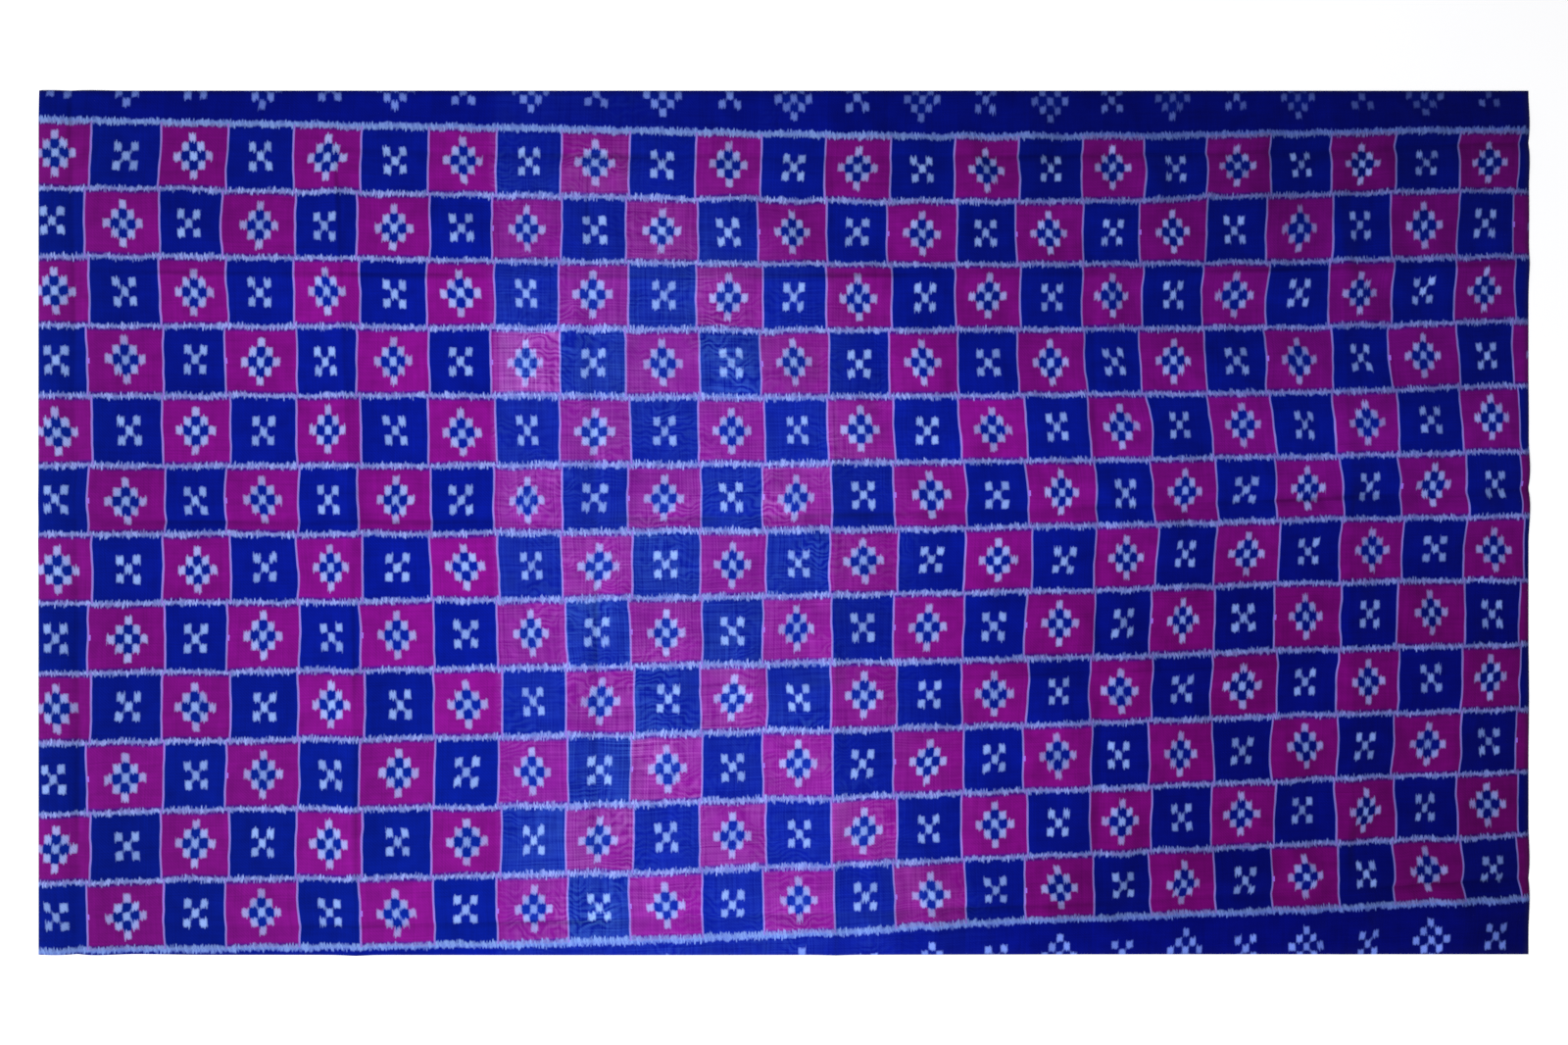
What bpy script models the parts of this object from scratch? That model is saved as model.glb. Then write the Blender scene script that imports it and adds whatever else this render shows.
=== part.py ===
"""A cut length of double-ikat chessboard cotton, lying in the pressed folds it was stored in.

The cloth is one thin sheet. Its underside lies on the ground plane, z = 0, and rises from it along
the storage folds, the slanting wrinkles between them and a few broad swells.
+X runs along the cut length, +Y towards the far selvedge, +Z up, all in metres.
The origin is at the middle of the sheet's outline, on the ground.
"""
from collections import namedtuple
from math import ceil

import bpy
import numpy as np

# Driving dimensions
CUT_LENGTH = 1.000
CUT_WIDTH = 0.5962
THICKNESS = 0.001
CREST_RADIUS = 0.0015
FADE_LENGTH = 0.045

# Grid of the sheet: steps of at most GRID_STEP, and closer stations over each storage fold
GRID_STEP = 0.029
FOLD_STATIONS = (-0.016, -0.006, 0.0, 0.006, 0.016)

HALF_LENGTH = CUT_LENGTH / 2
HALF_WIDTH = CUT_WIDTH / 2

# A line across the whole sheet: its place at the two ends and the bow between them.
# A ridge or trough also has its rise at start, middle and end of its reach, and its spread to each side.
Line = namedtuple("Line", "name kind start end bow rises spread reach")

# Lines that run up the sheet; start is at the near edge, end at the far edge
UPRIGHTS = (
    Line("left_edge", "edge", -0.5003, -0.4954, 0.0, None, None, None),
    Line("edge_fold", "trough", -0.477, -0.477, 0.002, (0.0020, 0.0022, 0.0014), 0.034, (-0.31, 0.31)),
    Line("second_fold", "ridge", -0.302, -0.312, 0.006, (0.0028, 0.0042, 0.0022), 0.026, (-0.31, 0.27)),
    Line("third_fold", "trough", -0.147, -0.149, 0.003, (0.0012, 0.0024, 0.0016), 0.036, (-0.25, 0.25)),
    Line("middle_fold", "ridge", 0.010, 0.012, 0.003, (0.0026, 0.0036, 0.0024), 0.026, (-0.31, 0.26)),
    Line("fifth_fold", "trough", 0.187, 0.187, 0.004, (0.0026, 0.0022, 0.0012), 0.036, (-0.28, 0.22)),
    Line("last_fold", "ridge", 0.358, 0.357, 0.009, (0.0030, 0.0040, 0.0026), 0.028, (-0.30, 0.26)),
    Line("right_edge", "edge", 0.4898, 0.5000, 0.0, None, None, None),
)

# Lines that run along the sheet; start is at the left edge, end at the right edge
LEVELS = (
    Line("near_edge", "edge", -0.2644, -0.2985, 0.0, None, None, None),
    Line("near_fold", "trough", -0.2480, -0.2455, -0.008, (0.0014, 0.0026, 0.0026), 0.036, (-0.44, 0.51)),
    Line("low_fold", "ridge", -0.1060, -0.0900, -0.003, (0.0022, 0.0034, 0.0018), 0.025, (-0.14, 0.44)),
    Line("centre_fold", "trough", 0.0120, 0.0230, -0.008, (0.0020, 0.0026, 0.0028), 0.036, (-0.52, 0.52)),
    Line("high_fold", "ridge", 0.1730, 0.1780, -0.007, (0.0020, 0.0050, 0.0026), 0.026, (-0.46, 0.52)),
    Line("far_fold", "trough", 0.2580, 0.2620, -0.012, (0.0012, 0.0022, 0.0026), 0.034, (-0.36, 0.52)),
    Line("far_edge", "edge", 0.2882, 0.2981, 0.0, None, None, None),
)

# Soft wrinkles that slant between the storage folds, from one end point to the other
Wrinkle = namedtuple("Wrinkle", "name x0 y0 x1 y1 bow rise spread")
WRINKLES = (
    Wrinkle("far_slant", -0.095, 0.256, 0.062, 0.164, -0.014, 0.0032, 0.024),
    Wrinkle("high_slant", -0.105, 0.146, 0.030, 0.101, -0.012, 0.0028, 0.022),
    Wrinkle("left_slant", -0.455, 0.224, -0.355, 0.180, 0.004, 0.0020, 0.022),
    Wrinkle("second_slant", -0.290, 0.230, -0.195, 0.184, 0.003, 0.0022, 0.022),
    Wrinkle("right_pinch", 0.235, 0.107, 0.375, 0.110, 0.006, 0.0026, 0.024),
    Wrinkle("low_slant", 0.030, -0.170, 0.200, -0.088, 0.012, 0.0030, 0.026),
    Wrinkle("right_slant", 0.285, -0.195, 0.392, -0.146, 0.004, 0.0024, 0.024),
    Wrinkle("near_slant", 0.130, -0.262, 0.330, -0.226, 0.006, 0.0028, 0.024),
    Wrinkle("corner_slant", 0.285, 0.230, 0.352, 0.182, 0.004, 0.0022, 0.022),
)

# Broad swells where the right half doesn't lie flat
Swell = namedtuple("Swell", "name x y reach_x reach_y rise")
SWELLS = (
    Swell("far_right", 0.430, 0.215, 0.095, 0.060, 0.0030),
    Swell("right", 0.425, 0.070, 0.085, 0.065, 0.0034),
    Swell("middle_right", 0.270, 0.055, 0.080, 0.055, 0.0028),
    Swell("low_right", 0.430, -0.120, 0.080, 0.070, 0.0032),
    Swell("near_right", 0.260, -0.160, 0.075, 0.060, 0.0024),
    Swell("far_middle", 0.095, 0.215, 0.075, 0.050, 0.0022),
)

CLOTH_BLUE = (0.004, 0.012, 0.235, 1.0)
CLOTH_ROUGHNESS = 0.85


def place(line, across, half_span):
    """The line's place at the points across: straight from start to end, plus a parabola of height bow."""
    share = (across + half_span) / (2 * half_span)
    return line.start + (line.end - line.start) * share + line.bow * 4 * share * (1 - share)


def smooth_step(share):
    """0 below share 0, 1 above share 1, with a level start and end: 3 s^2 - 2 s^3."""
    s = np.clip(share, 0.0, 1.0)
    return s * s * (3 - 2 * s)


def rise_along(line, across):
    """The fold's rise: smooth from start through middle to end of its reach, fading out at both ends."""
    low, high = line.reach
    share = np.clip((across - low) / (high - low), 0.0, 1.0)
    first, middle, last = line.rises
    body = first + (middle - first) * smooth_step(2 * share) + (last - middle) * smooth_step(2 * share - 1)
    return body * smooth_step((across - low) / FADE_LENGTH) * smooth_step((high - across) / FADE_LENGTH)


def section(kind, distance, spread):
    """A fold's cross-section of unit height, zero and level at spread to each side of its line.

    A ridge is (1 - t)^2 and a trough 6.75 t (1 - t)^2, for t the rounded distance over spread.
    """
    rounded = np.sqrt(distance ** 2 + CREST_RADIUS ** 2) - CREST_RADIUS
    t = np.clip(rounded / spread, 0.0, 1.0)
    return (1 - t) ** 2 if kind == "ridge" else 6.75 * t * (1 - t) ** 2


def wrinkle_height(wrinkle, x, y):
    """A soft bump (1 - t^2)^2 across the wrinkle's bowed line, swelling and dying away along it."""
    run_x = wrinkle.x1 - wrinkle.x0
    run_y = wrinkle.y1 - wrinkle.y0
    length = np.hypot(run_x, run_y)
    share = ((x - wrinkle.x0) * run_x + (y - wrinkle.y0) * run_y) / length ** 2
    inside = np.clip(share, 0.0, 1.0)
    off = (-(x - wrinkle.x0) * run_y + (y - wrinkle.y0) * run_x) / length
    off = off - wrinkle.bow * 4 * inside * (1 - inside)
    t = np.clip(np.abs(off) / wrinkle.spread, 0.0, 1.0)
    return wrinkle.rise * (1 - t ** 2) ** 2 * smooth_step(4 * share) * smooth_step(4 * (1 - share))


def swell_height(swell, x, y):
    """A soft mound (1 - r^2)^2, for r the distance from its middle in units of its reach."""
    r2 = ((x - swell.x) / swell.reach_x) ** 2 + ((y - swell.y) / swell.reach_y) ** 2
    return swell.rise * (1 - np.clip(r2, 0.0, 1.0)) ** 2


def height(x, y):
    """Height of the underside over the ground: the root of the summed squares of all folds."""
    parts = [rise_along(line, y) * section(line.kind, x - place(line, y, HALF_WIDTH), line.spread)
             for line in UPRIGHTS if line.kind != "edge"]
    parts += [rise_along(line, x) * section(line.kind, y - place(line, x, HALF_LENGTH), line.spread)
              for line in LEVELS if line.kind != "edge"]
    parts += [wrinkle_height(wrinkle, x, y) for wrinkle in WRINKLES]
    parts += [swell_height(swell, x, y) for swell in SWELLS]
    return np.sqrt(sum(part ** 2 for part in parts))


def stations(lines, half_span):
    """Grid stations from edge to edge: a few across each fold, and even steps between them."""
    marks = []
    for line in lines:
        middle = place(line, 0.0, half_span)
        marks += [middle] if line.kind == "edge" else [middle + offset for offset in FOLD_STATIONS]
    marks.sort()
    result = [marks[0]]
    for low, high in zip(marks, marks[1:]):
        steps = ceil((high - low) / GRID_STEP)
        result += [low + (high - low) * step / steps for step in range(1, steps + 1)]
    return np.array(result)


def follow(lines, station, across, half_span):
    """Carry grid points with the lines: each stays as far between its two lines as at mid-sheet."""
    middles = np.array([place(line, 0.0, half_span) for line in lines])
    places = np.array([place(line, across, half_span) for line in lines])
    below = np.clip(np.searchsorted(middles, station, side="right") - 1, 0, len(lines) - 2)
    share = (station - middles[below]) / (middles[below + 1] - middles[below])
    point = np.arange(len(station))
    low = places[below, point]
    high = places[below + 1, point]
    return low + share * (high - low)


def cloth_material():
    """Blue cotton, matt."""
    material = bpy.data.materials.new("double_ikat_cotton")
    material.use_nodes = True
    shader = material.node_tree.nodes["Principled BSDF"]
    shader.inputs["Base Color"].default_value = CLOTH_BLUE
    shader.inputs["Roughness"].default_value = CLOTH_ROUGHNESS
    shader.inputs["Metallic"].default_value = 0.0
    return material


def make_cloth(collection):
    """The sheet: a flat grid whose points are moved onto the outline and the folds, then given thickness."""
    across_stations = stations(UPRIGHTS, HALF_WIDTH)
    along_stations = stations(LEVELS, HALF_LENGTH)
    columns = len(across_stations) - 1
    rows = len(along_stations) - 1
    bpy.ops.mesh.primitive_grid_add(x_subdivisions=columns, y_subdivisions=rows, size=1.0)
    cloth = bpy.context.object
    cloth.name = "cloth"
    mesh = cloth.data

    flat = np.empty(len(mesh.vertices) * 3)
    mesh.vertices.foreach_get("co", flat)
    flat = flat.reshape(-1, 3)
    column = np.rint((flat[:, 0] + 0.5) * columns).astype(int)
    row = np.rint((flat[:, 1] + 0.5) * rows).astype(int)
    x = across_stations[column]
    y = along_stations[row]
    for _ in range(4):
        x = follow(UPRIGHTS, across_stations[column], y, HALF_WIDTH)
        y = follow(LEVELS, along_stations[row], x, HALF_LENGTH)
    mesh.vertices.foreach_set("co", np.stack([x, y, height(x, y)], axis=1).ravel())
    mesh.shade_smooth()
    mesh.update()

    thicken = cloth.modifiers.new("thickness", "SOLIDIFY")
    thicken.thickness = THICKNESS
    thicken.offset = 1.0
    cloth.data.materials.append(cloth_material())
    for owner in list(cloth.users_collection):
        owner.objects.unlink(cloth)
    collection.objects.link(cloth)


for old in list(bpy.data.objects):
    bpy.data.objects.remove(old, do_unlink=True)
cotton_fabric = bpy.data.collections.new("cotton_fabric")
bpy.context.scene.collection.children.link(cotton_fabric)
make_cloth(cotton_fabric)
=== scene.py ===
from collections import namedtuple
from math import radians

import bpy
import numpy as np
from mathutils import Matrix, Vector


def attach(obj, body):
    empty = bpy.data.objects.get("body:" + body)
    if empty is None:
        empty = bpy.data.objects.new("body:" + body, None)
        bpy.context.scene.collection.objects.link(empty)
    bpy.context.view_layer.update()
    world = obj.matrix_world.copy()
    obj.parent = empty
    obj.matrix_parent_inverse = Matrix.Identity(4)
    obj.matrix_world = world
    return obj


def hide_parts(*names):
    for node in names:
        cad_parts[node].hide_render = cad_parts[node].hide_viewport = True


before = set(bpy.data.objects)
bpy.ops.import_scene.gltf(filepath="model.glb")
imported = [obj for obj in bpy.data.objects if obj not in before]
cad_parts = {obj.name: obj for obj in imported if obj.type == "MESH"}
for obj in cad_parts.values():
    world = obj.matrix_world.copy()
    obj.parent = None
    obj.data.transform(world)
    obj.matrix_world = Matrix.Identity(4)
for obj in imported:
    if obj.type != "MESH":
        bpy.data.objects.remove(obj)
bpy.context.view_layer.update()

# The cloth: one cut length of plain-woven cotton, double ikat, with warp and weft tied and dyed before weaving.
# It lies on the floor in the creases of the folded parcel it was stored in. Raw edges, no hem.
# Made as one thin sheet: a grid of points carried onto the outline and the folds, with its weave as a UV map.
SHEET_THICKNESS = 0.0004
FLOOR_GAP = 0.00015
CUT_LENGTH = 1.000
CUT_WIDTH = 0.5962
HALF_LENGTH = CUT_LENGTH / 2
HALF_WIDTH = CUT_WIDTH / 2
CREST_RADIUS = 0.0015
FADE_LENGTH = 0.045
CREASE_WIDTH = 0.0016
CREASE_DEPTH = 0.0003
SLANT_SHADE_SHARE = 0.24
CRUMPLE_RISE = 0.00042
CRUMPLE_WAVES = 12
COLUMNS = 280
ROWS = 168
FOLD_DENSITY = 3.0
FOLD_REACH = 0.011

# Lines across the whole sheet, as in the CAD source: edges, and the ridges and troughs of the storage folds.
# press says how hard the parcel was pressed along that fold, which leaves a fine groove, darkened with painted shade.
Line = namedtuple("Line", "name kind start end bow rises spread reach press")
UPRIGHTS = (
    Line("left_edge", "edge", -0.5003, -0.4954, 0.0, None, None, None, None),
    Line("edge_fold", "trough", -0.477, -0.477, 0.002, (0.0020, 0.0022, 0.0014), 0.034, (-0.31, 0.31), 0.8),
    Line("second_fold", "ridge", -0.302, -0.312, 0.006, (0.0028, 0.0042, 0.0022), 0.026, (-0.31, 0.27), 1.0),
    Line("third_fold", "trough", -0.147, -0.149, 0.003, (0.0012, 0.0024, 0.0016), 0.036, (-0.25, 0.25), 0.7),
    Line("middle_fold", "ridge", 0.010, 0.012, 0.003, (0.0026, 0.0036, 0.0024), 0.026, (-0.31, 0.26), 0.8),
    Line("fifth_fold", "trough", 0.187, 0.187, 0.004, (0.0026, 0.0022, 0.0012), 0.036, (-0.28, 0.22), 0.6),
    Line("last_fold", "ridge", 0.358, 0.357, 0.009, (0.0030, 0.0040, 0.0026), 0.028, (-0.30, 0.26), 0.5),
    Line("right_edge", "edge", 0.4898, 0.5000, 0.0, None, None, None, None),
)
LEVELS = (
    Line("near_edge", "edge", -0.2644, -0.2985, 0.0, None, None, None, None),
    Line("near_fold", "trough", -0.2480, -0.2455, -0.008, (0.0014, 0.0026, 0.0026), 0.036, (-0.44, 0.51), 0.9),
    Line("low_fold", "ridge", -0.1060, -0.0900, -0.003, (0.0022, 0.0034, 0.0018), 0.025, (-0.14, 0.44), 0.6),
    Line("centre_fold", "trough", 0.0120, 0.0230, -0.008, (0.0020, 0.0026, 0.0028), 0.036, (-0.52, 0.52), 1.0),
    Line("high_fold", "ridge", 0.1730, 0.1780, -0.007, (0.0020, 0.0050, 0.0026), 0.026, (-0.46, 0.52), 1.1),
    Line("far_fold", "trough", 0.2580, 0.2620, -0.012, (0.0012, 0.0022, 0.0026), 0.034, (-0.36, 0.52), 0.8),
    Line("far_edge", "edge", 0.2882, 0.2981, 0.0, None, None, None, None),
)

# Soft wrinkles that slant between the storage folds
Wrinkle = namedtuple("Wrinkle", "name x0 y0 x1 y1 bow rise spread")
WRINKLES = (
    Wrinkle("far_slant", -0.095, 0.256, 0.062, 0.164, -0.014, 0.0032, 0.024),
    Wrinkle("high_slant", -0.105, 0.146, 0.030, 0.101, -0.012, 0.0028, 0.022),
    Wrinkle("left_slant", -0.455, 0.224, -0.355, 0.180, 0.004, 0.0020, 0.022),
    Wrinkle("second_slant", -0.290, 0.230, -0.195, 0.184, 0.003, 0.0022, 0.022),
    Wrinkle("right_pinch", 0.235, 0.107, 0.375, 0.110, 0.006, 0.0026, 0.024),
    Wrinkle("low_slant", 0.030, -0.170, 0.200, -0.088, 0.012, 0.0030, 0.026),
    Wrinkle("right_slant", 0.285, -0.195, 0.392, -0.146, 0.004, 0.0024, 0.024),
    Wrinkle("near_slant", 0.130, -0.262, 0.330, -0.226, 0.006, 0.0028, 0.024),
    Wrinkle("corner_slant", 0.285, 0.230, 0.352, 0.182, 0.004, 0.0022, 0.022),
)

# Broad swells where the right half doesn't lie flat
Swell = namedtuple("Swell", "name x y reach_x reach_y rise")
SWELLS = (
    Swell("far_right", 0.430, 0.215, 0.095, 0.060, 0.0030),
    Swell("right", 0.425, 0.070, 0.085, 0.065, 0.0034),
    Swell("middle_right", 0.270, 0.055, 0.080, 0.055, 0.0028),
    Swell("low_right", 0.430, -0.120, 0.080, 0.070, 0.0032),
    Swell("near_right", 0.260, -0.160, 0.075, 0.060, 0.0024),
    Swell("far_middle", 0.095, 0.215, 0.075, 0.050, 0.0022),
)

# The weave: one square of the chessboard, and where the field's lower left corner lies
SQUARE_WIDTH = 0.04335
SQUARE_HEIGHT = 0.04426
FIELD_LEFT = -0.4670
FIELD_NEAR = -0.2638
SAG = 0.0032

# Where handling has pulled the weave out of line: at most dx, dy at x, y, fading to none at its reach
Pull = namedtuple("Pull", "name x y reach_x reach_y dx dy")
PULLS = (
    Pull("far_sag", 0.10, 0.27, 0.34, 0.15, 0.0, -0.0034),
    Pull("near_sag", -0.16, -0.23, 0.32, 0.13, -0.0024, -0.0026),
    Pull("near_lift", 0.42, -0.27, 0.38, 0.14, -0.0008, 0.0032),
    Pull("near_middle", 0.14, -0.29, 0.16, 0.07, 0.0008, 0.0028),
    Pull("right_lift", 0.50, 0.16, 0.18, 0.20, 0.0004, 0.0022),
    Pull("right_middle", 0.36, -0.05, 0.20, 0.11, 0.0, 0.0020),
    Pull("left_lift", -0.40, 0.17, 0.20, 0.14, 0.0, 0.0020),
    Pull("left_middle", -0.22, 0.13, 0.20, 0.10, -0.0008, 0.0016),
    Pull("far_left_corner", -0.50, 0.32, 0.26, 0.14, 0.0062, 0.0),
    Pull("far_right_corner", 0.50, 0.32, 0.18, 0.14, 0.0084, 0.0),
    Pull("far_edge", -0.05, 0.31, 0.50, 0.09, 0.0024, 0.0),
    Pull("left_side", -0.45, 0.05, 0.16, 0.26, 0.0034, 0.0),
    Pull("left_waist", -0.20, 0.06, 0.16, 0.22, -0.0022, 0.0),
    Pull("middle", -0.03, 0.06, 0.14, 0.22, 0.0012, 0.0),
    Pull("right_waist", 0.30, 0.14, 0.16, 0.10, -0.0042, 0.0),
    Pull("right_belly", 0.18, 0.0, 0.20, 0.12, 0.0062, 0.0),
    Pull("right_side", 0.47, 0.0, 0.18, 0.13, 0.0048, 0.0),
    Pull("near_waist", 0.38, -0.20, 0.22, 0.15, -0.0044, 0.0),
    Pull("wide_column", -0.210, 0.0, 0.036, 0.50, 0.0010, 0.0),
    Pull("narrow_column", -0.164, 0.06, 0.036, 0.45, -0.0015, 0.0),
    Pull("middle_column", 0.010, 0.05, 0.038, 0.40, -0.0014, 0.0),
    Pull("right_column", 0.140, -0.05, 0.036, 0.40, 0.0010, 0.0),
    Pull("slack_column", 0.268, -0.05, 0.038, 0.35, -0.0016, 0.0),
    Pull("tight_column", 0.318, 0.05, 0.045, 0.40, 0.0016, 0.0),
    Pull("near_left", -0.31, -0.20, 0.12, 0.13, -0.0014, 0.0),
    Pull("near_right_corner", 0.47, -0.27, 0.08, 0.06, 0.0032, 0.0),
    Pull("far_right_row", 0.38, 0.222, 0.24, 0.040, 0.0, 0.0024),
    Pull("near_right_row", 0.34, -0.155, 0.22, 0.070, 0.0, 0.0014),
    Pull("lower_row", 0.0, -0.050, 0.60, 0.055, 0.0, 0.0009),
    Pull("near_left_corner", -0.47, -0.19, 0.07, 0.08, 0.0, -0.0015),
)

# Where the cloth is deeper or paler in colour: a change of its depth at x, y, fading to none at its reach
Patch = namedtuple("Patch", "name x y reach_x reach_y change")
PATCHES = (
    Patch("far_strip", 0.08, 0.29, 0.30, 0.16, -0.22),
    Patch("far_right", 0.42, 0.30, 0.30, 0.15, -0.16),
    Patch("far_left", -0.30, 0.29, 0.16, 0.13, -0.13),
    Patch("far_middle", 0.12, 0.14, 0.10, 0.09, -0.12),
    Patch("high_left", -0.36, 0.16, 0.22, 0.08, 0.06),
    Patch("middle", 0.16, 0.05, 0.36, 0.11, 0.15),
    Patch("right", 0.40, 0.06, 0.22, 0.09, 0.10),
    Patch("low", 0.03, -0.12, 0.20, 0.10, 0.06),
    Patch("near", -0.02, -0.25, 0.25, 0.13, 0.15),
    Patch("near_middle", 0.13, -0.24, 0.09, 0.09, -0.14),
    Patch("near_left", -0.25, -0.24, 0.14, 0.10, 0.06),
    Patch("near_left_corner", -0.42, -0.25, 0.12, 0.12, -0.10),
    Patch("near_right_corner", 0.50, -0.27, 0.22, 0.18, -0.22),
)


def place(line, across, half_span):
    """The line's place at the points across: straight from start to end, plus a parabola of height bow."""
    share = (across + half_span) / (2 * half_span)
    return line.start + (line.end - line.start) * share + line.bow * 4 * share * (1 - share)


def smooth_step(share):
    """0 below share 0, 1 above share 1, with a level start and end: 3 s^2 - 2 s^3."""
    s = np.clip(share, 0.0, 1.0)
    return s * s * (3 - 2 * s)


def rise_along(line, across):
    """The fold's rise: smooth from start through middle to end of its reach, fading out at both ends."""
    low, high = line.reach
    share = np.clip((across - low) / (high - low), 0.0, 1.0)
    first, middle, last = line.rises
    body = first + (middle - first) * smooth_step(2 * share) + (last - middle) * smooth_step(2 * share - 1)
    return body * smooth_step((across - low) / FADE_LENGTH) * smooth_step((high - across) / FADE_LENGTH)


def section(kind, distance, spread):
    """A fold's cross-section of unit height: a ridge is (1 - t)^2 and a trough 6.75 t (1 - t)^2,
    for t the distance over spread, rounded at the crease."""
    rounded = np.sqrt(distance ** 2 + CREST_RADIUS ** 2) - CREST_RADIUS
    t = np.clip(rounded / spread, 0.0, 1.0)
    return (1 - t) ** 2 if kind == "ridge" else 6.75 * t * (1 - t) ** 2


def wrinkle_height(wrinkle, x, y):
    """A soft bump (1 - t^2)^2 across the wrinkle's bowed line, swelling and dying away along it."""
    run_x = wrinkle.x1 - wrinkle.x0
    run_y = wrinkle.y1 - wrinkle.y0
    length = np.hypot(run_x, run_y)
    share = ((x - wrinkle.x0) * run_x + (y - wrinkle.y0) * run_y) / length ** 2
    inside = np.clip(share, 0.0, 1.0)
    off = (-(x - wrinkle.x0) * run_y + (y - wrinkle.y0) * run_x) / length
    off = off - wrinkle.bow * 4 * inside * (1 - inside)
    t = np.clip(np.abs(off) / wrinkle.spread, 0.0, 1.0)
    return wrinkle.rise * (1 - t ** 2) ** 2 * smooth_step(4 * share) * smooth_step(4 * (1 - share))


def mound(spot, x, y):
    """(1 - r^2)^2, for r the distance from the spot's middle in units of its reach."""
    r2 = ((x - spot.x) / spot.reach_x) ** 2 + ((y - spot.y) / spot.reach_y) ** 2
    return (1 - np.clip(r2, 0.0, 1.0)) ** 2


def crease_line(line, across, distance):
    """How strong the pressed crease is, for its fine groove and its painted shade: a bell exp(-(d / CREASE_WIDTH)^2)
    across it, times the product of two sine waves along it, so that it comes and goes."""
    low, high = line.reach
    ends = smooth_step((across - low) / FADE_LENGTH) * smooth_step((high - across) / FADE_LENGTH)
    along = 0.50 + 0.50 * np.sin(31 * across + 60 * line.start) * np.sin(12 * across + 25 * line.end)
    return line.press * ends * along * np.exp(-(distance / CREASE_WIDTH) ** 2)


def creases(x, y):
    """The strength of all pressed creases together, for their grooves and their painted shade: their sum, at most 1.
    """
    lines = [crease_line(line, y, x - place(line, y, HALF_WIDTH)) for line in UPRIGHTS if line.kind != "edge"]
    lines += [crease_line(line, x, y - place(line, x, HALF_LENGTH)) for line in LEVELS if line.kind != "edge"]
    return np.clip(sum(lines), 0.0, 1.0)


def crumple(x, y):
    """Small unevenness, never below 0: the sum of CRUMPLE_WAVES bent sine waves 20 to 50 mm long in scattered
    directions, each as high as CRUMPLE_RISE times length / 35 mm and a quarter of that on the left, raised by
    2.5 times that height and cut off where it would go under the floor."""
    scatter = np.random.default_rng(5)
    bent_x = x + 0.006 * np.sin(61 * y + 23 * x)
    bent_y = y + 0.006 * np.sin(53 * x - 31 * y + 1.0)
    total = np.zeros_like(x)
    for _ in range(CRUMPLE_WAVES):
        length = scatter.uniform(0.020, 0.050)
        angle = scatter.uniform(0.0, np.pi)
        turn = scatter.uniform(0.0, 2 * np.pi)
        along = bent_x * np.cos(angle) + bent_y * np.sin(angle)
        total = total + length / 0.035 * np.sin(2 * np.pi / length * along + turn)
    uneven = 0.75 + 0.25 * np.sin(17 * x + 11 * y) * np.sin(23 * y - 9 * x)
    loose = (0.25 + 0.75 * smooth_step((x + 0.22) / 0.35)) * uneven
    return CRUMPLE_RISE * loose * np.maximum(total + 2.5, 0.0)


def slants(x, y):
    """How dark the painted shade of the slanting wrinkles is: the sum of their heights, each as a share of its rise.
    """
    return sum(wrinkle_height(wrinkle, x, y) / wrinkle.rise for wrinkle in WRINKLES)


def height(x, y):
    """Height over the floor: the root of the summed squares of all folds, wrinkles and swells."""
    parts = [rise_along(line, y) * section(line.kind, x - place(line, y, HALF_WIDTH), line.spread)
             for line in UPRIGHTS if line.kind != "edge"]
    parts += [rise_along(line, x) * section(line.kind, y - place(line, x, HALF_LENGTH), line.spread)
              for line in LEVELS if line.kind != "edge"]
    parts += [wrinkle_height(wrinkle, x, y) for wrinkle in WRINKLES]
    parts += [swell.rise * mound(swell, x, y) for swell in SWELLS]
    return np.sqrt(sum(part ** 2 for part in parts))


def stations(lines, half_span, count):
    """count + 1 stations from edge to edge, denser by a factor 1 + FOLD_DENSITY at each fold."""
    middles = [place(line, 0.0, half_span) for line in lines]
    fine = np.linspace(middles[0], middles[-1], 8 * count + 1)
    density = 1 + FOLD_DENSITY * sum(np.exp(-((fine - middle) / FOLD_REACH) ** 2) for middle in middles[1:-1])
    total = np.concatenate([[0.0], np.cumsum(0.5 * (density[1:] + density[:-1]))])
    return np.interp(np.linspace(0.0, total[-1], count + 1), total, fine)


def follow(lines, station, across, half_span):
    """Carry grid points with the lines: each stays as far between its two lines as at mid-sheet."""
    middles = np.array([place(line, 0.0, half_span) for line in lines])
    places = np.array([place(line, across, half_span) for line in lines])
    below = np.clip(np.searchsorted(middles, station, side="right") - 1, 0, len(lines) - 2)
    share = (station - middles[below]) / (middles[below + 1] - middles[below])
    point = np.arange(len(station))
    low = places[below, point]
    high = places[below + 1, point]
    return low + share * (high - low)


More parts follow.
